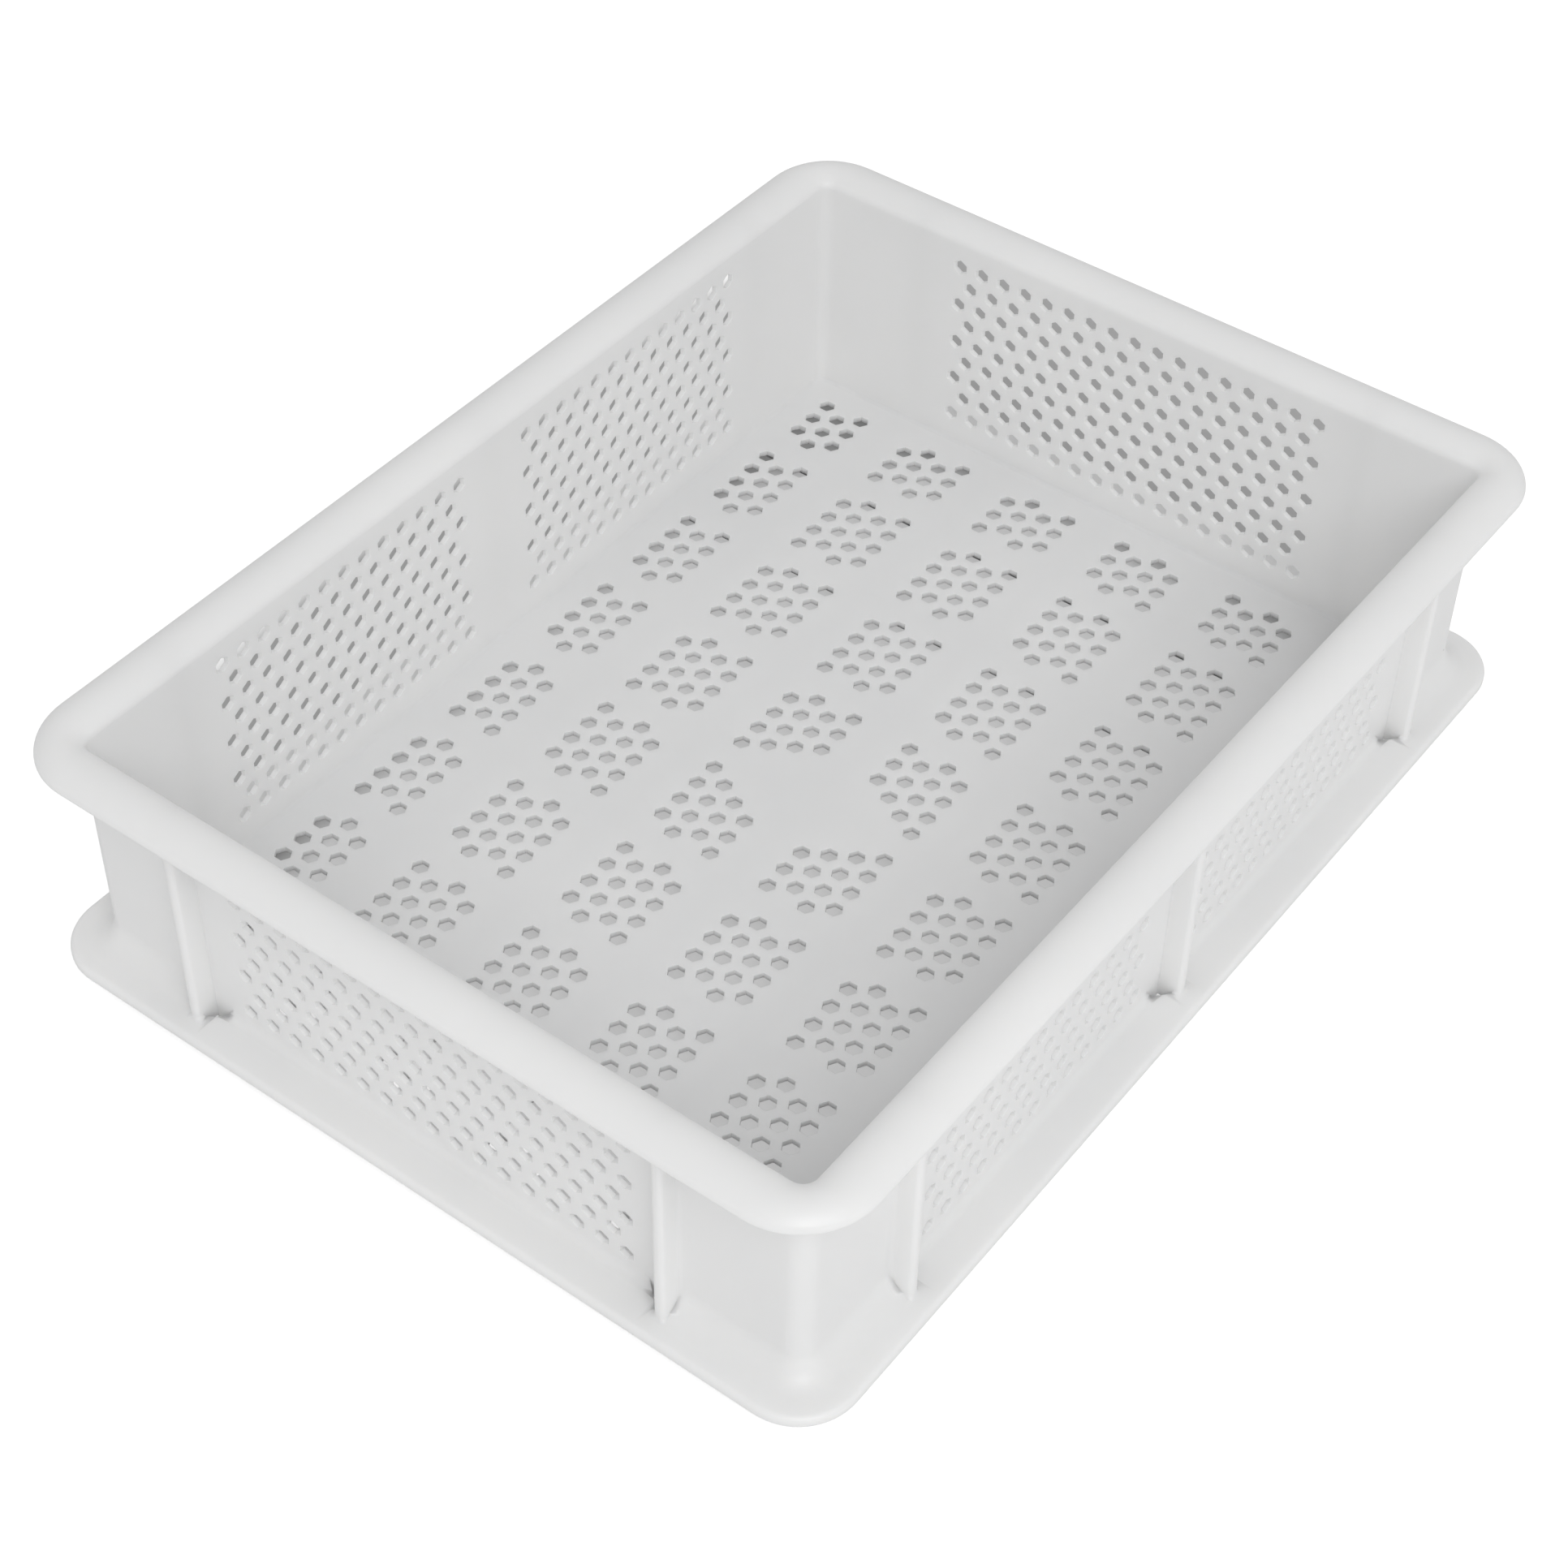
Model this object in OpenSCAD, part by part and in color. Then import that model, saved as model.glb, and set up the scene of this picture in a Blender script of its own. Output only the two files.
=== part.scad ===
// Perforated stacking crate: one white plastic moulding, drawn as the regions it is built from.
// Millimetres. +Z is up, the long sides run along X, and the origin lies under the middle of the
// crate at the level that it stands on. Front is -Y and left is -X. Every region meets its
// neighbours face to face. "Reach" is a distance outward from the inside face of a wall.

/* [Crate body] */
// Inside length between the short walls
inner_length = 484; // [380:1:600]
// Inside width between the long walls
inner_width = 350; // [280:1:440]
// Inside depth from the floor to the inner edge of the rim
inner_depth = 115; // [90:1:180]
// Thickness of the four walls
wall = 2.6; // [2:0.1:4]
// Thickness of the floor plate
floor_thickness = 3; // [2:0.1:5]
// How far the walls reach down the edge of the floor plate
wall_drop = 2; // [1:0.1:2]
// Inside radius of the upright corners
corner_radius = 6; // [4:0.5:12]

/* [Rim] */
// Reach of the rim
rim_reach = 22.5; // [16:0.5:28]
// Radius of the domed top of the rim
rim_dome = 15; // [14.5:0.5:24]
// Skin thickness of the rim
rim_skin = 3; // [2:0.1:4]
// Depth of the outer lip of the rim, below the dome
rim_lip = 3; // [2:0.1:8]
// Depth of the band that joins the rim to the wall, below the inner edge
rim_band = 5; // [4:0.5:8]
// Outside radius of the rim corners in plan
rim_corner = 40; // [28:1:60]

/* [Foot] */
// Reach of the foot
foot_reach = 22; // [16:0.5:28]
// Thickness of the foot
foot_thickness = 5.4; // [3:0.1:8]
// Outside radius of the foot corners in plan
foot_corner = 31; // [20:1:50]
// Leg of the triangular drain holes along the wall
drain_along = 9.5; // [5:0.5:14]
// Leg of the triangular drain holes away from the wall
drain_out = 7.5; // [4:0.5:10]

/* [Outside ribs] */
// Thickness of the upright ribs
rib = 5; // [3:0.1:8]
// Reach of the upright ribs
rib_reach = 13; // [8:0.5:15]
// Distance of the end ribs on a long side from its middle
long_rib_x = 188.5; // [120:0.5:210]
// Distance of the ribs on a short side from its middle
short_rib_y = 119; // [80:0.5:145]

/* [Holes] */
// Distance between neighbouring holes in a row
hole_pitch = 12; // [10:0.5:16]
// Distance between rows of floor holes
floor_row = 10.2; // [9:0.1:14]
// Distance between rows of wall holes
wall_row = 10.7; // [9:0.1:14]
// Floor hole width across flats
floor_hole = 7; // [4:0.1:8]
// Wall hole width across flats
wall_hole = 6.6; // [4:0.1:8]
// Height of the lowest row of wall holes above the floor
first_row = 15.6; // [12:0.1:30]
// Plain band between the highest row of wall holes and the inner edge of the rim
top_plain = 12; // [10:0.5:30]
// Plain band between an upright rib and the nearest hole
side_plain = 19; // [8:0.5:40]
// Plain band between the walls and the nearest floor hole
floor_plain = 14; // [8:0.5:40]
// Radius of the plain disc in the middle of the floor
gate_disc = 29; // [10:0.5:60]
// Holes along and across one group of floor holes
group_holes = 4; // [2:1:4]
// Distance between floor hole groups along X
group_pitch = 61.8; // [56:0.1:80]
// Rows from one group of floor holes to the next along Y
group_rows = 6; // [5:1:8]

/* [Underside] */
// Depth of the locating skirt and the floor ribs below the floor plate
base_depth = 6; // [3:0.5:12]
// Gap between the skirt and the inside face of the crate below, when stacked
nest_gap = 3; // [1:0.1:6]
// Thickness of the locating skirt
skirt = 3; // [2:0.1:5]
// Thickness of the floor ribs
floor_rib = 2.4; // [1.5:0.1:4]

/* [Hidden] */
$fn = 96;
half_x = inner_length / 2;
half_y = inner_width / 2;
floor_z = base_depth + floor_thickness;
foot_top = floor_z + foot_thickness;
rim_edge = floor_z + inner_depth;
wall_top = rim_edge - rim_band;
wall_foot = floor_z - wall_drop;
// The dome is an arc on the chord from the inner edge of the rim to its outer edge
dome_middle = rim_reach / 2;
dome_z = rim_edge - sqrt(rim_dome * rim_dome - dome_middle * dome_middle);
ceiling = rim_dome - rim_skin;
// Bay widths and the hole counts that they hold
long_bay = long_rib_x - rib;
short_bay = 2 * short_rib_y - rib;
long_count = floor((long_bay - 2 * side_plain) / hole_pitch) + 1;
short_count = floor((short_bay - 2 * side_plain) / hole_pitch) + 1;
wall_rows = floor((inner_depth - first_row - top_plain) / wall_row) + 1;
// First hole of a floor group, counted from the middle of the plain strip before it
group_start = (group_pitch - (group_holes - 0.5) * hole_pitch) / 2;
row_start = (group_rows - group_holes + 1) / 2;
groups_x = ceil(half_x / group_pitch);
groups_y = ceil(half_y / (group_rows * floor_row));
// Floor ribs run under the plain strips, clear of the skirt
skirt_in = nest_gap + skirt;
cross_ribs = floor((half_x - skirt_in - floor_rib) / group_pitch);
long_ribs = floor((half_y - skirt_in - floor_rib) / (group_rows * floor_row));
reach_out = 40;

SIDES = ["front", "back", "left", "right"];
ENDS = ["left", "middle", "right"];
CORNERS = ["front_left", "front_right", "back_left", "back_right"];
SHORT_ENDS = ["front", "back"];
NODES = concat(
    ["floor_plate"],
    [for (i = [-long_ribs:long_ribs]) str("floor_rib_long_", i + long_ribs + 1)],
    [for (i = [-cross_ribs:cross_ribs]) str("floor_rib_cross_", i + cross_ribs + 1)],
    [for (s = SIDES) str("skirt_", s)],
    [for (s = SIDES) str("foot_", s)],
    [for (s = SIDES) str("wall_", s)],
    [for (c = CORNERS) str("corner_", c)],
    [for (s = ["front", "back"], e = ENDS) str("rib_", s, "_", e)],
    [for (s = ["left", "right"], e = SHORT_ENDS) str("rib_", s, "_", e)],
    [for (s = SIDES) str("rim_", s)]
);
node = "all";

function shown(name) = node == "all" || node == name;
function is_long(side) = side == "front" || side == "back";
function half_run(side) = is_long(side) ? half_x : half_y;
function half_across(side) = is_long(side) ? half_y : half_x;

// The plan outline of the crate, moved outward by a reach, with its own corner radius
module outline(reach, radius) {
    x = half_x + reach - radius;
    y = half_y + reach - radius;
    union() {
        square([2 * x, 2 * (y + radius)], center = true);
        square([2 * (x + radius), 2 * y], center = true);
        for (sx = [-1, 1], sy = [-1, 1])
            translate([sx * x, sy * y]) circle(r = radius);
    }
}

// Turns a shape drawn along X at the front into one of the four sides
module on_side(side) {
    turn = side == "front" ? 0 : side == "right" ? 90 : side == "back" ? 180 : 270;
    rotate([0, 0, turn]) children();
}

// The plan sector that a side owns, mitred at the corners of the crate
module sector(side) {
    x = half_run(side);
    y = half_across(side);
    on_side(side) polygon([
        [-x - reach_out, -y - reach_out],
        [x + reach_out, -y - reach_out],
        [x - reach_out, -y + reach_out],
        [-x + reach_out, -y + reach_out]
    ]);
}

// A section drawn as [reach, height], run along a side past both corners
module run(side) {
    on_side(side)
        translate([half_run(side) + reach_out, -half_across(side), 0])
            rotate([90, 0, 270])
                linear_extrude(2 * (half_run(side) + reach_out)) children();
}

// A hole with flat sides and a point at each end
module hexagon(across) {
    rotate(30) circle(r = across / sqrt(3), $fn = 6);
}

// One staggered field of wall holes, centred on X with Y up from the floor
module wall_field(count) {
    for (r = [0:wall_rows - 1], k = [0:count - 1 - r % 2])
        translate([(k - (count - 1 - r % 2) / 2) * hole_pitch, first_row + r * wall_row])
            hexagon(wall_hole);
}

// One quarter of the floor holes, which stand in staggered groups around a plain disc
module floor_field() {
    for (i = [0:groups_x - 1], j = [0:groups_y - 1], k = [0:group_holes - 1], m = [0:group_holes - 1]) {
        x = group_start + i * group_pitch + (k + (1 - m % 2) / 2) * hole_pitch;
        y = (row_start + j * group_rows + m) * floor_row;
        if (x < half_x - floor_plain && y < half_y - floor_plain && norm([x, y]) > gate_disc)
            translate([x, y]) hexagon(floor_hole);
    }
}

module floor_plate() {
    color("whitesmoke")
        translate([0, 0, base_depth])
            linear_extrude(floor_thickness)
                difference() {
                    outline(0, corner_radius);
                    for (sx = [0, 1], sy = [0, 1])
                        mirror([sx, 0]) mirror([0, sy]) floor_field();
                }
}

module floor_rib_long(index) {
    y = index * group_rows * floor_row;
    color("gainsboro")
        translate([skirt_in - half_x, y - floor_rib / 2, 0])
            cube([inner_length - 2 * skirt_in, floor_rib, base_depth]);
}

// A cross rib is broken where the long ribs pass through it
module floor_rib_cross(index) {
    x = index * group_pitch;
    color("gainsboro")
        difference() {
            translate([x - floor_rib / 2, skirt_in - half_y, 0])
                cube([floor_rib, inner_width - 2 * skirt_in, base_depth]);
            for (i = [-long_ribs:long_ribs])
                translate([x - floor_rib, i * group_rows * floor_row - floor_rib / 2, -1])
                    cube([2 * floor_rib, floor_rib, base_depth + 2]);
        }
}

module skirt_side(side) {
    color("gainsboro")
        linear_extrude(base_depth)
            intersection() {
                sector(side);
                difference() {
                    outline(-nest_gap, corner_radius);
                    outline(-skirt_in, corner_radius);
                }
            }
}

// The triangular drain hole in the foot, in the corner between the wall and a rib
module drain(x, away) {
    translate([x, -wall])
        polygon([[0, 0], [away * drain_along, 0], [0, -drain_out]]);
}

module side_drains(side) {
    on_side(side)
        translate([0, -half_across(side)])
            if (is_long(side)) {
                drain(-long_rib_x + rib / 2, 1);
                drain(-rib / 2, -1);
                drain(rib / 2, 1);
                drain(long_rib_x - rib / 2, -1);
            } else {
                drain(-short_rib_y + rib / 2, 1);
                drain(short_rib_y - rib / 2, -1);
            }
}

module foot_side(side) {
    color("white")
        translate([0, 0, floor_z])
            linear_extrude(foot_thickness)
                difference() {
                    intersection() {
                        sector(side);
                        outline(foot_reach, foot_corner);
                    }
                    outline(wall, corner_radius + wall);
                    side_drains(side);
                }
}

module wall_side(side) {
    length = 2 * (half_run(side) - corner_radius);
    color("whitesmoke")
        on_side(side)
            translate([0, -half_across(side), floor_z])
                rotate([90, 0, 0])
                    linear_extrude(wall)
                        difference() {
                            translate([-length / 2, -wall_drop])
                                square([length, wall_top - wall_foot]);
                            if (is_long(side)) {
                                translate([-long_rib_x / 2, 0]) wall_field(long_count);
                                translate([long_rib_x / 2, 0]) wall_field(long_count);
                            } else {
                                wall_field(short_count);
                            }
                        }
}

module corner_post(sx, sy) {
    x = half_x - corner_radius;
    y = half_y - corner_radius;
    color("whitesmoke")
        translate([sx * x, sy * y, wall_foot])
            linear_extrude(wall_top - wall_foot)
                intersection() {
                    difference() {
                        circle(r = corner_radius + wall);
                        circle(r = corner_radius);
                    }
                    translate([sx > 0 ? 0 : -2 * corner_radius, sy > 0 ? 0 : -2 * corner_radius])
                        square(2 * corner_radius);
                }
}

// An upright rib stands on the foot and runs up into the hollow of the rim
module upright_rib(side, place) {
    color("white")
        on_side(side)
            translate([place + rib / 2, -half_across(side), 0])
                rotate([90, 0, 270])
                    linear_extrude(rib)
                        intersection() {
                            translate([wall, foot_top])
                                square([rib_reach - wall, dome_z + ceiling - foot_top]);
                            union() {
                                translate([dome_middle, dome_z]) circle(r = ceiling);
                                square([rim_reach, dome_z]);
                            }
                        }
}

// The solid section of the rim, before its hollow is taken out
module dome_section() {
    difference() {
        union() {
            translate([dome_middle, dome_z]) circle(r = rim_dome);
            translate([-corner_radius, wall_top])
                square([corner_radius + rim_reach, rim_edge - wall_top]);
        }
        translate([-rim_dome, dome_z - 2 * rim_dome])
            square([4 * rim_dome, wall_top - dome_z + 2 * rim_dome]);
        translate([rim_reach, dome_z - rim_dome])
            square([rim_dome, 2 * rim_dome]);
        translate([-2 * rim_dome - corner_radius, dome_z])
            square([2 * rim_dome, rim_dome]);
    }
}

module hollow_section() {
    union() {
        intersection() {
            translate([dome_middle, dome_z]) circle(r = ceiling);
            translate([-corner_radius, dome_z]) square([corner_radius + rim_reach, rim_dome]);
        }
        translate([-corner_radius, wall_top - 1])
            square([corner_radius + rim_reach, rim_edge - rim_lip - wall_top + 1]);
    }
}

// Each side of the rim is a hollow bar, mitred to its neighbours and rounded at the corners
module rim_side(side) {
    height = dome_z + rim_dome - wall_top + 2;
    color("white")
        difference() {
            intersection() {
                run(side) dome_section();
                translate([0, 0, wall_top - 1])
                    linear_extrude(height)
                        intersection() {
                            sector(side);
                            outline(rim_reach, rim_corner);
                        }
            }
            translate([0, 0, wall_top - 1]) linear_extrude(height) outline(0, corner_radius);
            difference() {
                intersection() {
                    run(side) hollow_section();
                    translate([0, 0, wall_top - 2])
                        linear_extrude(height)
                            outline(rim_reach - rim_skin, rim_corner - rim_skin);
                }
                translate([0, 0, wall_top - 2])
                    linear_extrude(height) outline(wall, corner_radius + wall);
            }
            // Below the lip only the band against the wall is left
            difference() {
                translate([0, 0, wall_top - 1])
                    linear_extrude(rim_edge - rim_lip - wall_top + 1)
                        outline(rim_reach + 1, rim_corner);
                translate([0, 0, wall_top - 2])
                    linear_extrude(height) outline(wall, corner_radius + wall);
            }
        }
}

if (shown("floor_plate")) floor_plate();
for (i = [-long_ribs:long_ribs])
    if (shown(str("floor_rib_long_", i + long_ribs + 1))) floor_rib_long(i);
for (i = [-cross_ribs:cross_ribs])
    if (shown(str("floor_rib_cross_", i + cross_ribs + 1))) floor_rib_cross(i);
for (s = SIDES) {
    if (shown(str("skirt_", s))) skirt_side(s);
    if (shown(str("foot_", s))) foot_side(s);
    if (shown(str("wall_", s))) wall_side(s);
    if (shown(str("rim_", s))) rim_side(s);
}
for (sx = [-1, 1], sy = [-1, 1])
    if (shown(str("corner_", sy < 0 ? "front" : "back", sx < 0 ? "_left" : "_right")))
        corner_post(sx, sy);
for (s = ["front", "back"], e = [-1, 0, 1])
    if (shown(str("rib_", s, "_", ENDS[s == "front" ? e + 1 : 1 - e])))
        upright_rib(s, e * long_rib_x);
for (s = ["left", "right"], e = [-1, 1])
    if (shown(str("rib_", s, "_", (s == "right") == (e < 0) ? "front" : "back")))
        upright_rib(s, e * short_rib_y);
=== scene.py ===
import math

import bpy
import bmesh
from mathutils import Matrix, Vector


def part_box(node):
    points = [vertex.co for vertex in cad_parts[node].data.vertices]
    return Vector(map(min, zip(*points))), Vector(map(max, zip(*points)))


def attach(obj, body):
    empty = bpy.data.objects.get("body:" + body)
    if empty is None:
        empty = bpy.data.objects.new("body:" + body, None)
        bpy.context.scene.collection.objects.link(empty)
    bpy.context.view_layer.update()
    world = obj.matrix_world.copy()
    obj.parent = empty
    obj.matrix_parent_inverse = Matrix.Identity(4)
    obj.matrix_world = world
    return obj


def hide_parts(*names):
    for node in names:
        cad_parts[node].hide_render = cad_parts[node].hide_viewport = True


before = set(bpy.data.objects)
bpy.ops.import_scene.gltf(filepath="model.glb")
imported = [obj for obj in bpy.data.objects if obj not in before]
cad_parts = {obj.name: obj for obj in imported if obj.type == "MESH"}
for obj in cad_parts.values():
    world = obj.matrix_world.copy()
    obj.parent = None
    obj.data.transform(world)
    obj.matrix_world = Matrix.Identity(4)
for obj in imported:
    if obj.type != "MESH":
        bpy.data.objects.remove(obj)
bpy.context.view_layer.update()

# A perforated white stacking crate, one moulding. Metres, +Z up, front is -Y and left is -X.
# "Reach" is a distance outward from the inside face of a wall.
MM = 0.001

# ---------------------------------------------------------------- sizes taken from the frame
FLOOR_LOW, FLOOR_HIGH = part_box("floor_plate")
HALF_X = FLOOR_HIGH.x
HALF_Y = FLOOR_HIGH.y
FLOOR_Z = FLOOR_HIGH.z
FLOOR_UNDER = FLOOR_LOW.z
WALL_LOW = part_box("wall_front")[0]
WALL = -HALF_Y - WALL_LOW.y
WALL_FOOT = WALL_LOW.z
FOOT_LOW, FOOT_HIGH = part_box("foot_front")
FOOT_REACH = -HALF_Y - FOOT_LOW.y
FOOT_TOP = FOOT_HIGH.z
RIM_LOW, RIM_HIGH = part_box("rim_front")
RIM_REACH = -HALF_Y - RIM_LOW.y
RIM_TOP = RIM_HIGH.z

# ---------------------------------------------------------------- sizes of the moulded details
CORNER_RADIUS = 6 * MM
RIM_CORNER = 34 * MM
FOOT_CORNER = 27 * MM
DOME_RADIUS = 15 * MM
RIM_SKIN = 3 * MM
LIP_BOTTOM = 121 * MM
RIM_INNER_ROUND = 4.5 * MM
RIM_OUTER_ROUND = 4 * MM
LIP_ROUND = 1.3 * MM
FLOOR_FILLET = 2 * MM
COVE_BAY = 4.5 * MM
COVE_CORNER = 12 * MM
FOOT_ROUND_TOP = 2.4 * MM
FOOT_ROUND_BOTTOM = 1.8 * MM
SMALL_ROUND = 0.8 * MM
HOLE_EDGE = 0.22 * MM
HOLE_PITCH = 12 * MM
FLOOR_ROW = 10.2 * MM
WALL_ROW = 10.7 * MM
FLOOR_HOLE = 7 * MM
WALL_HOLE = 6.6 * MM
FIRST_ROW = 15.6 * MM
WALL_ROWS = 9
LONG_COUNT = 13
SHORT_COUNT = 17
LONG_FIELD_X = 94.25 * MM
FLOOR_PLAIN = 14 * MM
GATE_DISC = 29 * MM
GROUP_HOLES = 4
GROUP_PITCH = 61.8 * MM
GROUP_ROWS = 6
GROUP_START = (GROUP_PITCH - (GROUP_HOLES - 0.5) * HOLE_PITCH) / 2
ROW_START = (GROUP_ROWS - GROUP_HOLES + 1) / 2
DRAIN_ALONG = 9.5 * MM
DRAIN_OUT = 7.5 * MM
CORNER_STEPS = 16
# Longest reach of a hole's tips, as a share of the distance between rows
WALL_TIP = 0.46
FLOOR_TIP = 0.47
# Least distance, in mm, between outer rows that the wide cove pushes together
ROW_GAP = 0.1
# The rim's hollow ends this far out from the wall, then rounds into it: (outward, down)
HOLLOW_SIDE = 1.5 * MM
HOLLOW_BLEND = ((0.4 * MM, 0.9 * MM), (0.0, 2.2 * MM))
UNDER_INSET = 1 * MM
# The drain cutter passes the foot by this much below and above
DRAIN_BELOW = 4 * MM
DRAIN_ABOVE = 5.2 * MM
# An upright rib starts this deep inside the wall and the foot, and ends inside the rim's skin
RIB_SINK = 0.6 * MM
RIB_NOSE = 2 * MM
RIB_FLARE = 1.8 * MM
RIB_FILLET_PLAIN = 2.6 * MM
RIB_FILLET_BAY = 0.5 * MM
RIB_PAST_CEILING = 0.4 * MM
RIB_TOP_DROP = 4.4 * MM
RIB_LIP_DROP = 2 * MM
WELD = 0.002 * MM
SMOOTH_ANGLE = 40
SIDES = ("front", "right", "back", "left")


# ---------------------------------------------------------------- mesh helpers
class Shell:
    """Points and faces, gathered before they become one mesh."""

    def __init__(self):
        self.points = []
        self.faces = []

    def point(self, p):
        self.points.append(tuple(p))
        return len(self.points) - 1

    def face(self, *corners):
        self.faces.append(corners)

    def band(self, ring_a, ring_b):
        """Quads between two closed rings of as many points."""
        count = len(ring_a)
        for i in range(count):
            j = (i + 1) % count
            self.face(ring_a[i], ring_a[j], ring_b[j], ring_b[i])

    def zip(self, chain_a, chain_b):
        """Triangles between two chains that run side by side."""
        a = 0
        b = 0
        while a < len(chain_a) - 1 or b < len(chain_b) - 1:
            step_a = self.gap(chain_a, a + 1, chain_b, b)
            step_b = self.gap(chain_a, a, chain_b, b + 1)
            if step_a <= step_b:
                self.face(chain_a[a], chain_a[a + 1], chain_b[b])
                a += 1
            else:
                self.face(chain_a[a], chain_b[b + 1], chain_b[b])
                b += 1

    def gap(self, chain_a, a, chain_b, b):
        if a >= len(chain_a) or b >= len(chain_b):
            return math.inf
        return (Vector(self.points[chain_a[a]]) - Vector(self.points[chain_b[b]])).length

    def build(self, name):
        mesh = bpy.data.meshes.new(name)
        mesh.from_pydata(self.points, [], self.faces)
        return finish_mesh(name, mesh)


def finish_mesh(name, mesh):
    """Welds, turns the faces outward and links the mesh as an object, smooth up to an angle."""
    work = bmesh.new()
    work.from_mesh(mesh)
    bmesh.ops.remove_doubles(work, verts=work.verts, dist=WELD)
    bmesh.ops.recalc_face_normals(work, faces=work.faces)
    work.to_mesh(mesh)
    work.free()
    piece = bpy.data.objects.new(name, mesh)
    bpy.context.scene.collection.objects.link(piece)
    smooth(piece)
    return piece


def smooth(piece):
    """Smooth shading with sharp edges kept and flat faces left flat."""
    piece.data.shade_smooth()
    piece.data.set_sharp_from_angle(angle=math.radians(SMOOTH_ANGLE))
    weighted = piece.modifiers.new("flat_faces_stay_flat", "WEIGHTED_NORMAL")
    weighted.keep_sharp = True
    weighted.weight = 80


def arc(cx, cz, radius, start, end, steps):
    """Points on an arc, angles in degrees from +reach towards +Z."""
    points = []
    for i in range(steps + 1):
        turn = math.radians(start + (end - start) * i / steps)
        points.append((cx + radius * math.cos(turn), cz + radius * math.sin(turn)))
    return points


# ---------------------------------------------------------------- the section of the shell
DOME_MIDDLE = RIM_REACH / 2
DOME_Z = RIM_TOP - DOME_RADIUS


def blend_height(radius):
    """Height of the centre of a rounding that is tangent to the dome and to an upright face."""
    return DOME_Z + math.sqrt((DOME_RADIUS - radius) ** 2 - (DOME_MIDDLE - radius) ** 2)


def blend_angle(radius):
    """Angle at which that rounding meets the dome, from the horizontal."""
    return math.degrees(math.atan2(blend_height(radius) - DOME_Z, DOME_MIDDLE - radius))


def wall_lines():
    first = FLOOR_Z + FIRST_ROW - WALL_ROW / 2
    return [first + i * WALL_ROW for i in range(WALL_ROWS + 1)]


def section(cove):
    """The section from the edge of the floor's top, over the rim, to its underside."""
    rows = wall_lines()
    outer_rows = [max(z, FOOT_TOP + cove + i * ROW_GAP * MM) for i, z in enumerate(rows)]
    inner = arc(-FLOOR_FILLET, FLOOR_Z + FLOOR_FILLET, FLOOR_FILLET, -90, 0, 4)
    inner_start = len(inner)
    inner += [(0, z) for z in rows]
    turn_in = 180 - blend_angle(RIM_INNER_ROUND)
    turn_out = blend_angle(RIM_OUTER_ROUND)
    over = arc(RIM_INNER_ROUND, blend_height(RIM_INNER_ROUND), RIM_INNER_ROUND, 180, turn_in, 6)
    over += arc(DOME_MIDDLE, DOME_Z, DOME_RADIUS, turn_in, turn_out, 20)[1:]
    outer_x = RIM_REACH - RIM_OUTER_ROUND
    over += arc(outer_x, blend_height(RIM_OUTER_ROUND), RIM_OUTER_ROUND, turn_out, 0, 6)[1:]
    lip_out = RIM_REACH - LIP_ROUND
    lip_in = RIM_REACH - RIM_SKIN + LIP_ROUND
    over += arc(lip_out, LIP_BOTTOM + LIP_ROUND, LIP_ROUND, 0, -90, 4)
    over += arc(lip_in, LIP_BOTTOM + LIP_ROUND, LIP_ROUND, -90, -180, 4)
    ceiling = DOME_RADIUS - RIM_SKIN
    side = RIM_REACH - RIM_SKIN - DOME_MIDDLE
    near = math.degrees(math.acos(side / ceiling))
    far = math.degrees(math.acos((WALL + HOLLOW_SIDE - DOME_MIDDLE) / ceiling))
    over += arc(DOME_MIDDLE, DOME_Z, ceiling, near, far, 10)
    hollow = over[-1]
    over += [(WALL + out, hollow[1] - down) for out, down in HOLLOW_BLEND]
    outer_start = len(inner) + len(over)
    outer = [(WALL, z) for z in reversed(outer_rows)]
    base = arc(WALL + cove, FOOT_TOP + cove, cove, 180, 270, 8)
    top_x = FOOT_REACH - FOOT_ROUND_TOP
    base += arc(top_x, FOOT_TOP - FOOT_ROUND_TOP, FOOT_ROUND_TOP, 90, 0, 5)
    low_x = FOOT_REACH - FOOT_ROUND_BOTTOM
    base += arc(low_x, FLOOR_Z + FOOT_ROUND_BOTTOM, FOOT_ROUND_BOTTOM, 0, -90, 5)
    base += [(WALL, FLOOR_Z), (WALL, WALL_FOOT + SMALL_ROUND)]
    base += [(WALL - SMALL_ROUND, WALL_FOOT), (0, WALL_FOOT)]
    base += [(0, FLOOR_UNDER), (-UNDER_INSET, FLOOR_UNDER)]
    return inner + over + outer + base, inner_start, outer_start


def corner_radius(reach, z):
    """Plan radius of the crate's corner at a point of the section."""
    share = max(0.0, (reach - WALL) / (RIM_REACH - WALL))
    if z > (LIP_BOTTOM + FOOT_TOP) / 2:
        extra = RIM_CORNER - CORNER_RADIUS - RIM_REACH
    else:
        extra = FOOT_CORNER - CORNER_RADIUS - FOOT_REACH
    return CORNER_RADIUS + reach + extra * share


# ---------------------------------------------------------------- the path round the crate
# The foot's cove widens inside the thickness of an end rib, within this distance of its middle
BLEND = 0.8 * MM
# Extra columns keep the shading near a rib and its drain holes local
NEAR_RIB = 6.5 * MM
PAST_DRAIN = 14 * MM


def side_frame(side):
    """Half length, half distance across and the turn about Z of a side drawn at the front."""
    turn = 90 * SIDES.index(side)
    if side in ("front", "back"):
        return HALF_X, HALF_Y, Matrix.Rotation(math.radians(turn), 3, "Z")
    return HALF_Y, HALF_X, Matrix.Rotation(math.radians(turn), 3, "Z")


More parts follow.
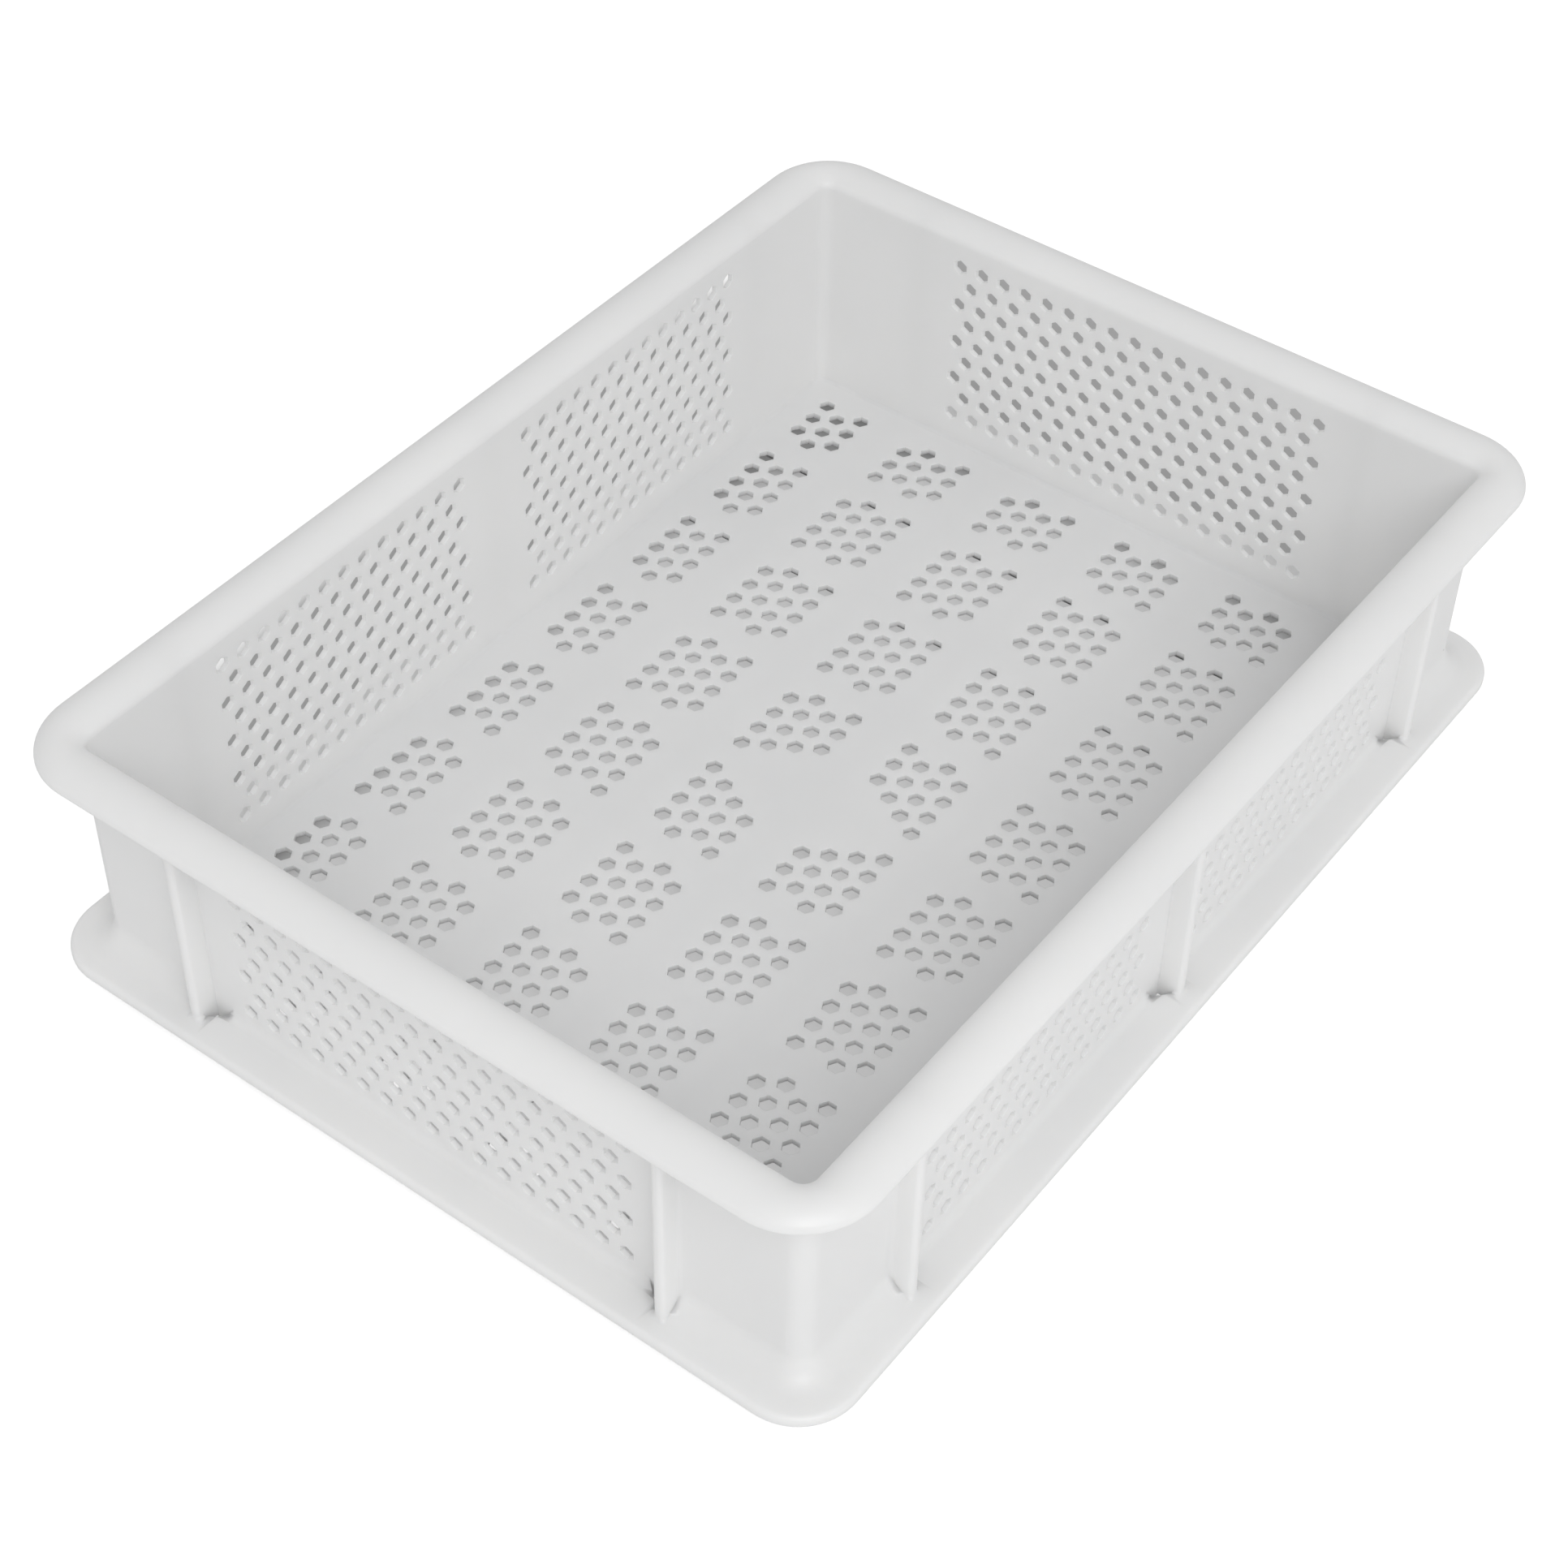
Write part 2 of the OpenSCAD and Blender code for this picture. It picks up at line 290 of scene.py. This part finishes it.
def field_columns(side):
    """Half-pitch lines along a wall, and the columns at which each field of holes starts."""
    if side in ("front", "back"):
        centres = (-LONG_FIELD_X, LONG_FIELD_X)
        count = LONG_COUNT
    else:
        centres = (0.0,)
        count = SHORT_COUNT
    lines = []
    starts = []
    for centre in centres:
        if lines:
            lines += [-PAST_DRAIN, -NEAR_RIB, NEAR_RIB, PAST_DRAIN]
        starts.append(len(lines))
        lines += [centre + (i - count) * HOLE_PITCH / 2 for i in range(2 * count + 1)]
    return lines, starts, count


def on_side(side, along, reach, z):
    _, across, turn = side_frame(side)
    return turn @ Vector((along, -across - reach, z))


def corner_point(side, step, reach, z):
    """A point of the corner at the right-hand end of a side."""
    half, across, turn = side_frame(side)
    radius = corner_radius(reach, z)
    angle = math.radians(90 * step / CORNER_STEPS - 90)
    x = half + reach - radius + radius * math.cos(angle)
    y = -across - reach + radius + radius * math.sin(angle)
    return turn @ Vector((x, y, z))


# ---------------------------------------------------------------- holes
def hexagon(across, limit):
    """Six points that match the six points of a hole's cell, anticlockwise from low left."""
    side = across / 2
    low = across / math.sqrt(12)
    tip = min(across / math.sqrt(3), limit)
    return [(-side, -low), (0, -tip), (side, -low), (side, low), (0, tip), (-side, low)]


def punch(shell, cell_a, cell_b, centre, along, up, inward, across, limit, depth):
    """A hexagonal hole with softly rounded edges between two cells, one on each face."""
    rings = [
        (across + 2 * HOLE_EDGE, 0.0),
        (across + 0.6 * HOLE_EDGE, 0.3 * HOLE_EDGE),
        (across, HOLE_EDGE),
        (across, depth - HOLE_EDGE),
        (across + HOLE_EDGE, depth),
    ]
    previous = cell_a
    for width, sunk in rings:
        ring = []
        for u, v in hexagon(width, limit):
            ring.append(shell.point(centre + along * u + up * v + inward * sunk))
        shell.band(previous, ring)
        previous = ring
    shell.band(previous, cell_b)


def wall_hole_columns(starts, count, row):
    """The first half-pitch column of each hole in a row of a wall."""
    shift = row % 2
    for start in starts:
        for i in range(count - shift):
            yield start + 2 * i + shift


# ---------------------------------------------------------------- the shell
def sweep(shell):
    """Runs the section round the crate. Returns the loops that meet the floor plate."""
    bay, inner_start, outer_start = section(COVE_BAY)
    end = section(COVE_CORNER)[0]
    columns = []
    holes = set()
    for side in SIDES:
        lines, starts, count = field_columns(side)
        rib = end_rib(side)
        outside = [rib + BLEND, rib + NEAR_RIB, rib + 2 * NEAR_RIB]
        inside = [rib - PAST_DRAIN, rib - NEAR_RIB, rib - BLEND]
        columns += straight(shell, side, [-a for a in reversed(outside)], end)
        columns += straight(shell, side, [-a for a in reversed(inside)], bay)
        first = len(columns)
        columns += straight(shell, side, lines, bay)
        for row in range(WALL_ROWS):
            for column in wall_hole_columns(starts, count, row):
                wall_hole(shell, side, lines, columns, first, column, row, inner_start, outer_start)
                for c in (first + column, first + column + 1):
                    holes.add((c, inner_start + row))
                    holes.add((c, outer_start + WALL_ROWS - 1 - row))
        columns += straight(shell, side, inside, bay)
        columns += straight(shell, side, outside, end)
        for step in range(CORNER_STEPS + 1):
            columns.append([shell.point(corner_point(side, step, r, z)) for r, z in end])
    for c, column in enumerate(columns):
        following = columns[(c + 1) % len(columns)]
        for p in range(len(bay) - 1):
            if (c, p) not in holes:
                shell.face(column[p], following[p], following[p + 1], column[p + 1])
    return [c[0] for c in columns], [c[-1] for c in columns]


def straight(shell, side, places, profile):
    """Columns of points across a straight side, one at each place along it."""
    return [[shell.point(on_side(side, a, r, z)) for r, z in profile] for a in places]


def end_rib(side):
    """Distance of the end ribs from the middle of a side."""
    return max(abs(along) for _, at, along in rib_places() if at == side)


def wall_hole(shell, side, lines, columns, first, column, row, inner_start, outer_start):
    c = first + column
    low = inner_start + row
    low_out = outer_start + WALL_ROWS - row
    inside = cell(columns, c, low, low + 1)
    outside = cell(columns, c, low_out, low_out - 1)
    _, across, turn = side_frame(side)
    z = FLOOR_Z + FIRST_ROW + row * WALL_ROW
    centre = turn @ Vector((lines[column + 1], -across, z))
    along = turn @ Vector((1, 0, 0))
    up = Vector((0, 0, 1))
    outward = turn @ Vector((0, -1, 0))
    limit = WALL_TIP * WALL_ROW
    punch(shell, inside, outside, centre, along, up, outward, WALL_HOLE, limit, WALL)


def cell(columns, c, low, high):
    """The six points round a hole's cell, anticlockwise from low left."""
    return [
        columns[c][low], columns[c + 1][low], columns[c + 2][low],
        columns[c + 2][high], columns[c + 1][high], columns[c][high],
    ]


def floor_lines():
    """Half-pitch lines along X and row lines along Y over the whole floor."""
    xs = []
    ys = []
    for i in range(math.ceil(HALF_X / GROUP_PITCH)):
        start = GROUP_START + i * GROUP_PITCH - HOLE_PITCH / 2
        xs += [start + k * HOLE_PITCH / 2 for k in range(2 * GROUP_HOLES + 2)]
    for j in range(math.ceil(HALF_Y / (GROUP_ROWS * FLOOR_ROW))):
        start = (ROW_START - 0.5 + j * GROUP_ROWS) * FLOOR_ROW
        ys += [start + m * FLOOR_ROW for m in range(GROUP_HOLES + 1)]
    xs = [x for x in xs if x < HALF_X - FLOOR_PLAIN + HOLE_PITCH / 2]
    ys = [y for y in ys if y < HALF_Y - FLOOR_PLAIN + FLOOR_ROW / 2]
    return [-x for x in reversed(xs)] + xs, [-y for y in reversed(ys)] + ys


def floor_holes():
    """Centres of the floor holes in one quarter, in staggered groups round the plain disc."""
    for i in range(math.ceil(HALF_X / GROUP_PITCH)):
        for j in range(math.ceil(HALF_Y / (GROUP_ROWS * FLOOR_ROW))):
            for m in range(GROUP_HOLES):
                for k in range(GROUP_HOLES):
                    x = GROUP_START + i * GROUP_PITCH + (k + (1 - m % 2) / 2) * HOLE_PITCH
                    y = (ROW_START + j * GROUP_ROWS + m) * FLOOR_ROW
                    fits = x < HALF_X - FLOOR_PLAIN and y < HALF_Y - FLOOR_PLAIN
                    if fits and math.hypot(x, y) > GATE_DISC:
                        yield x, y


def nearest(lines, value):
    return min(range(len(lines)), key=lambda i: abs(lines[i] - value))


def perforated_floor(shell, top_loop, under_loop):
    xs, ys = floor_lines()
    top = [[shell.point((x, y, FLOOR_Z)) for y in ys] for x in xs]
    under = [[shell.point((x, y, FLOOR_UNDER)) for y in ys] for x in xs]
    holes = set()
    for x, y in floor_holes():
        for sx in (-1, 1):
            for sy in (-1, 1):
                c = nearest(xs, sx * x) - 1
                r = nearest(ys, sy * y - FLOOR_ROW / 2)
                floor_hole(shell, top, under, c, r, sx * x, sy * y)
                holes.add((c, r))
                holes.add((c + 1, r))
    for c in range(len(xs) - 1):
        for r in range(len(ys) - 1):
            if (c, r) not in holes:
                for grid in (top, under):
                    shell.face(grid[c][r], grid[c + 1][r], grid[c + 1][r + 1], grid[c][r + 1])
    join_edge(shell, top, top_loop)
    join_edge(shell, under, under_loop)


def floor_hole(shell, top, under, c, r, x, y):
    inward = Vector((0, 0, -1))
    centre = Vector((x, y, FLOOR_Z))
    thickness = FLOOR_Z - FLOOR_UNDER
    limit = FLOOR_TIP * FLOOR_ROW
    upper = cell(top, c, r, r + 1)
    lower = cell(under, c, r, r + 1)
    x_axis = Vector((1, 0, 0))
    y_axis = Vector((0, 1, 0))
    punch(shell, upper, lower, centre, x_axis, y_axis, inward, FLOOR_HOLE, limit, thickness)


def join_edge(shell, grid, loop):
    """Fills the flat band between the floor's grid and the loop at the foot of the walls."""
    edge = [column[0] for column in grid]
    edge += grid[-1][1:]
    edge += [column[-1] for column in reversed(grid)][1:]
    edge += list(reversed(grid[0]))[1:]
    start = shell.points[edge[0]]
    first = min(range(len(loop)), key=lambda i: math.dist(shell.points[loop[i]], start))
    turned = loop[first:] + loop[:first + 1]
    shell.zip(edge, turned)


def crate_shell():
    """Floor, walls, rim, foot and upright ribs as one mesh, with the drain holes cut out."""
    shell = Shell()
    top_loop, under_loop = sweep(shell)
    perforated_floor(shell, top_loop, under_loop)
    piece = shell.build("crate_shell")
    combine(piece, upright_ribs(), "UNION")
    combine(piece, drain_cutter(), "DIFFERENCE")
    nodes = ["floor_plate"]
    nodes += [f"{part}_{side}" for part in ("foot", "wall", "rim") for side in SIDES]
    nodes += [f"corner_{end}_{side}" for end in ("front", "back") for side in ("left", "right")]
    nodes += [name for name, _, _ in rib_places()]
    return piece, nodes


def combine(piece, tool, operation):
    """Joins a mesh to the shell or cuts it away, and takes the tool out of the scene."""
    piece.modifiers.clear()
    step = piece.modifiers.new("combine", "BOOLEAN")
    step.operation = operation
    step.solver = "EXACT"
    step.object = tool
    graph = bpy.context.evaluated_depsgraph_get()
    shape = bpy.data.meshes.new_from_object(piece.evaluated_get(graph))
    piece.modifiers.clear()
    piece.data = shape
    bpy.data.objects.remove(tool)
    smooth(piece)


# ---------------------------------------------------------------- drain holes
def rib_places():
    """Every upright rib as (node, side, position along the side)."""
    places = []
    for side in SIDES:
        turn = side_frame(side)[2]
        for name in sorted(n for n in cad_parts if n.startswith(f"rib_{side}_")):
            low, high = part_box(name)
            middle = turn.inverted() @ ((low + high) / 2)
            places.append((name, side, middle.x))
    return places


def bay_sides(along):
    """-1 and 1 for the faces of a rib that look at a perforated bay."""
    if abs(along) < HOLE_PITCH:
        return (-1, 1)
    return (-1,) if along > 0 else (1,)


def drain_cutter():
    """The triangular drain holes through the foot, in the corners of wall and rib."""
    cutter = Shell()
    low = FLOOR_Z - DRAIN_BELOW
    high = FOOT_TOP + DRAIN_ABOVE
    for _, side, along in rib_places():
        edge = rib_thickness() / 2
        for way in bay_sides(along):
            a = along + way * edge
            flat = [(a, WALL), (a + way * DRAIN_ALONG, WALL), (a, WALL + DRAIN_OUT)]
            under = [cutter.point(on_side(side, u, r, low)) for u, r in flat]
            over = [cutter.point(on_side(side, u, r, high)) for u, r in flat]
            cutter.band(under, over)
            cutter.face(*under)
            cutter.face(*over)
    return cutter.build("drain_cutter")


# ---------------------------------------------------------------- upright ribs
def rib_thickness():
    low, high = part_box("rib_front_middle")
    return high.x - low.x


def rib_outline(thickness, reach, flare, fillet_left, fillet_right):
    """Half-round nose, straight cheeks and a fillet on to the wall at each side, in plan."""
    half = thickness / 2 + flare
    tip = reach + flare
    root = WALL - RIB_SINK
    points = [(-half - fillet_left, root), (-half - fillet_left, WALL)]
    points += concave(-half, WALL, fillet_left, -1)
    points += arc(-half + RIB_NOSE, tip - RIB_NOSE, RIB_NOSE, 180, 90, 5)
    points += arc(half - RIB_NOSE, tip - RIB_NOSE, RIB_NOSE, 90, 0, 5)
    points += reversed(concave(half, WALL, fillet_right, 1))
    points += [(half + fillet_right, WALL), (half + fillet_right, root)]
    return points


def concave(edge, base, radius, way):
    """Points of a fillet from the wall up on to a rib's cheek."""
    points = []
    for i in range(1, 6):
        turn = math.radians(90 * i / 5)
        out = base + radius * (1 - math.cos(turn))
        points.append((edge + way * radius * (1 - math.sin(turn)), out))
    return points


def upright_ribs():
    """All the upright ribs as one mesh."""
    shell = Shell()
    for name, side, along in rib_places():
        upright_rib(shell, name, side, along)
    return shell.build("upright_ribs")


def upright_rib(shell, name, side, along):
    """A rib from the foot into the hollow of the rim, flared at its foot."""
    reach = rib_reach(name, side)
    bays = bay_sides(along)
    left = RIB_FILLET_BAY if -1 in bays else RIB_FILLET_PLAIN
    right = RIB_FILLET_BAY if 1 in bays else RIB_FILLET_PLAIN
    levels = [(FOOT_TOP - RIB_SINK, RIB_FLARE)]
    for i in range(5):
        turn = math.radians(90 * i / 4)
        height = FOOT_TOP + RIB_FLARE * (1 - math.cos(turn))
        levels.append((height, RIB_FLARE * (1 - math.sin(turn))))
    top = DOME_Z + DOME_RADIUS - RIM_SKIN + RIB_PAST_CEILING
    levels += [(LIP_BOTTOM - RIB_LIP_DROP, 0.0), (top - RIB_TOP_DROP, 0.0)]
    rings = []
    for z, spread in levels:
        outline = rib_outline(rib_thickness(), reach, spread, left, right)
        rings.append([shell.point(on_side(side, along + x, r, z)) for x, r in outline])
    for a, b in zip(rings, rings[1:]):
        shell.band(a, b)
    shell.face(*rings[0])
    shell.face(*rings[-1])


def rib_reach(name, side):
    """How far a rib stands out from the inside face of its wall."""
    low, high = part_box(name)
    _, across, turn = side_frame(side)
    a = turn.inverted() @ low
    b = turn.inverted() @ high
    return -across - min(a.y, b.y)


# ---------------------------------------------------------------- material
class Nodes:
    """A short way to add and join shader nodes."""

    def __init__(self, name):
        self.material = bpy.data.materials.new(name)
        self.material.use_nodes = True
        self.tree = self.material.node_tree
        self.shader = self.tree.nodes["Principled BSDF"]

    def add(self, kind, inputs=None, **settings):
        node = self.tree.nodes.new(kind)
        for key, value in settings.items():
            setattr(node, key, value)
        for key, value in (inputs or {}).items():
            if isinstance(value, bpy.types.NodeSocket):
                self.tree.links.new(value, node.inputs[key])
            else:
                node.inputs[key].default_value = value
        return node

    def join(self, output, socket):
        self.tree.links.new(output, self.shader.inputs[socket])

    def ramp(self, factor, low, high, value_low, value_high):
        limits = {"Value": factor, "From Min": low, "From Max": high, "To Min": value_low}
        limits["To Max"] = value_high
        return self.add("ShaderNodeMapRange", limits, clamp=True).outputs["Result"]


def moulded_plastic():
    """Satin natural-white polyethylene with faint flow, moulded grain, dark specks and uneven gloss."""
    n = Nodes("moulded_polyethylene")
    place = n.add("ShaderNodeTexCoord").outputs["Object"]
    cloud = n.add("ShaderNodeTexNoise", {"Vector": place, "Scale": 9.0, "Detail": 3.0})
    grain = n.add("ShaderNodeTexNoise", {"Vector": place, "Scale": 900.0, "Detail": 2.0})
    wave = n.add("ShaderNodeTexNoise", {"Vector": place, "Scale": 28.0, "Detail": 2.0})
    tone = n.ramp(cloud.outputs["Fac"], 0.3, 0.7, 0.0, 1.0)
    pale = (0.865, 0.865, 0.862, 1)
    cool = (0.83, 0.832, 0.832, 1)
    body = n.add("ShaderNodeMix", {"Factor": tone, "A": cool, "B": pale}, data_type="RGBA")
    cells = n.add("ShaderNodeTexVoronoi", {"Vector": place, "Scale": 55.0})
    rare = n.add("ShaderNodeSeparateColor", {"Color": cells.outputs["Color"]}).outputs["Red"]
    chosen = n.ramp(rare, 0.9, 0.901, 0.0, 1.0)
    size = n.ramp(cells.outputs["Distance"], 0.014, 0.03, 0.55, 0.0)
    speck = n.add("ShaderNodeMath", {0: chosen, 1: size}, operation="MULTIPLY").outputs[0]
    dirt = (0.16, 0.16, 0.16, 1)
    colour = n.add("ShaderNodeMix", {"Factor": speck, "B": dirt}, data_type="RGBA")
    n.tree.links.new(body.outputs[2], colour.inputs[6])
    n.tree.links.new(colour.outputs[2], n.shader.inputs["Base Color"])
    n.join(n.ramp(cloud.outputs["Fac"], 0.3, 0.7, 0.36, 0.5), "Roughness")
    fine = n.add("ShaderNodeBump", {
        "Strength": 0.25, "Distance": 0.00003, "Height": grain.outputs["Fac"],
    })
    broad = n.add("ShaderNodeBump", {
        "Strength": 0.35, "Distance": 0.0006, "Height": wave.outputs["Fac"],
        "Normal": fine.outputs["Normal"],
    })
    n.join(broad.outputs["Normal"], "Normal")
    n.shader.inputs["IOR"].default_value = 1.5
    n.shader.inputs["Subsurface Weight"].default_value = 0.8
    n.shader.inputs["Subsurface Radius"].default_value = (1.0, 0.98, 0.95)
    n.shader.inputs["Subsurface Scale"].default_value = 0.005
    return n.material


def plan_zone(n, place, middle, half, low, high):
    """0 inside a rounded rectangle on the floor and 1 outside it."""
    total = None
    for axis, centre, size in zip(("X", "Y"), middle, half):
        value = n.add("ShaderNodeSeparateXYZ", {0: place}).outputs[axis]
        moved = n.add("ShaderNodeMath", {0: value, 1: centre}, operation="SUBTRACT").outputs[0]
        share = n.add("ShaderNodeMath", {0: moved, 1: size}, operation="DIVIDE").outputs[0]
        square = n.add("ShaderNodeMath", {0: share, 1: share}, operation="MULTIPLY").outputs[0]
        fourth = n.add("ShaderNodeMath", {0: square, 1: square}, operation="MULTIPLY").outputs[0]
        if total is None:
            total = fourth
        else:
            total = n.add("ShaderNodeMath", {0: total, 1: fourth}, operation="ADD").outputs[0]
    return n.ramp(total, low, high, 0.0, 1.0)


def floor_with_painted_shadow(name):
    """A pale floor: white to the camera in the open, with a painted shadow of darker tone close behind
    the crate, and under it the same tone lifted by painted light.
    """
    n = Nodes(name)
    place = n.add("ShaderNodeTexCoord").outputs["Object"]
    camera = n.add("ShaderNodeLightPath").outputs["Is Camera Ray"]
    x_low, x_high, y_low, y_high = SHADE_PLAN
    middle = ((x_low + x_high) / 2, (y_low + y_high) / 2)
    half = ((x_high - x_low) / 2, (y_high - y_low) / 2)
    outside_painted_shadow = plan_zone(n, place, middle, half, 0.9, 1.15)
    beside = plan_zone(n, place, (0, 0), (HALF_X, HALF_Y), 0.7, 1.0)
    # Painted shadow: to the camera the floor shows a darker tone under the crate and close behind it
    painted_shadow_tone = n.ramp(outside_painted_shadow, 0.0, 1.0, SHADE_TONE, PALE)
    white = n.ramp(camera, 0.0, 1.0, PALE, 0.0)
    shown = n.add("ShaderNodeMath", {0: camera, 1: painted_shadow_tone, 2: white}, operation="MULTIPLY_ADD").outputs[0]
    colour = n.add("ShaderNodeCombineColor", {"Red": shown, "Green": shown, "Blue": shown})
    n.join(colour.outputs["Color"], "Base Color")
    n.shader.inputs["Roughness"].default_value = 0.9
    n.shader.inputs["Specular IOR Level"].default_value = 0.0
    # Painted light: under the crate the floor glows for the camera and lifts the tone seen through the
    # holes; close beside it the weaker glow adds to the painted shadow
    painted_glow_by_crate = n.ramp(beside, 0.0, 1.0, GLOW_UNDER, GLOW_BESIDE)
    rest = n.ramp(outside_painted_shadow, 0.0, 1.0, 0.0, GLOW_OPEN)
    glow = n.add("ShaderNodeMath", {0: painted_glow_by_crate, 1: rest}, operation="ADD").outputs[0]
    seen = n.add("ShaderNodeMath", {0: camera, 1: glow}, operation="MULTIPLY").outputs[0]
    n.join(seen, "Emission Strength")
    n.shader.inputs["Emission Color"].default_value = (1, 1, 1, 1)
    return n.material


# ---------------------------------------------------------------- stage
# Tone of the open floor, and the painted shadow tone of the zone that the camera sees through the holes
PALE = 0.9
SHADE_TONE = 0.3
# That zone of painted shadow on the floor: low and high X, low and high Y
SHADE_PLAN = (-212 * MM, 400 * MM, -158 * MM, 274 * MM)
# Painted light: glow that the camera sees on the floor, under the crate, beside it and more in the open
GLOW_UNDER = 0.41
GLOW_BESIDE = 0.14
GLOW_OPEN = 0.35
WORLD_LEVEL = 0.6
STAGE_HALF = 6.0
KEY_PLACE = (-1.5, -1.8, 2.3)
KEY_TARGET = (0, 0, 0.05)
KEY_SIZE = 1.8
KEY_POWER = 34
LENS = 70.34
EYE = (-0.7603, -0.5414, 0.9535)
AIM = (-0.0408, -0.0148, 0.06)
ROLL = 1.18


def stage_floor():
    far = STAGE_HALF
    corners = [(-far, -far, 0), (far, -far, 0), (far, far, 0), (-far, far, 0)]
    mesh = bpy.data.meshes.new("floor")
    mesh.from_pydata(corners, [], [(0, 1, 2, 3)])
    floor = bpy.data.objects.new("floor", mesh)
    bpy.context.scene.collection.objects.link(floor)
    mesh.materials.append(floor_with_painted_shadow("studio_floor"))


def world_light():
    world = bpy.data.worlds.new("studio")
    bpy.context.scene.world = world
    world.use_nodes = True
    tree = world.node_tree
    background = tree.nodes["Background"]
    path = tree.nodes.new("ShaderNodeLightPath")
    level = tree.nodes.new("ShaderNodeMapRange")
    level.inputs["To Min"].default_value = WORLD_LEVEL
    level.inputs["To Max"].default_value = 1.0
    tree.links.new(path.outputs["Is Camera Ray"], level.inputs["Value"])
    tree.links.new(level.outputs["Result"], background.inputs["Strength"])
    background.inputs["Color"].default_value = (1, 1, 1, 1)


def soft_lamp(name, place, target, size, power):
    data = bpy.data.lights.new(name, "AREA")
    data.shape = "DISK"
    data.size = size
    data.energy = power
    lamp = bpy.data.objects.new(name, data)
    lamp.location = place
    lamp.rotation_euler = (Vector(target) - Vector(place)).to_track_quat("-Z", "Y").to_euler()
    bpy.context.scene.collection.objects.link(lamp)


def camera():
    """A lens of medium length, high over the front left corner of the crate."""
    data = bpy.data.cameras.new("camera")
    data.sensor_width = 36
    data.lens = LENS
    data.clip_end = 50
    eye = bpy.data.objects.new("camera", data)
    place = Vector(EYE)
    roll = math.radians(ROLL)
    turn = (Vector(AIM) - place).to_track_quat("-Z", "Y").to_matrix()
    eye.matrix_world = Matrix.Translation(place) @ (turn @ Matrix.Rotation(roll, 3, "Z")).to_4x4()
    bpy.context.scene.collection.objects.link(eye)
    bpy.context.scene.camera = eye


# ---------------------------------------------------------------- assembly
def add_piece(piece, nodes, material):
    piece.data.materials.clear()
    piece.data.materials.append(material)
    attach(piece, "root")
    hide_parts(*nodes)


def main():
    camera()
    plastic = moulded_plastic()
    shell, nodes = crate_shell()
    add_piece(shell, nodes, plastic)
    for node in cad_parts.values():
        if not node.hide_render:
            for material_slot in node.material_slots:
                material_slot.material = plastic
    stage_floor()
    world_light()
    soft_lamp("key", KEY_PLACE, KEY_TARGET, KEY_SIZE, KEY_POWER)
    bpy.context.scene.view_settings.view_transform = "Standard"


main()
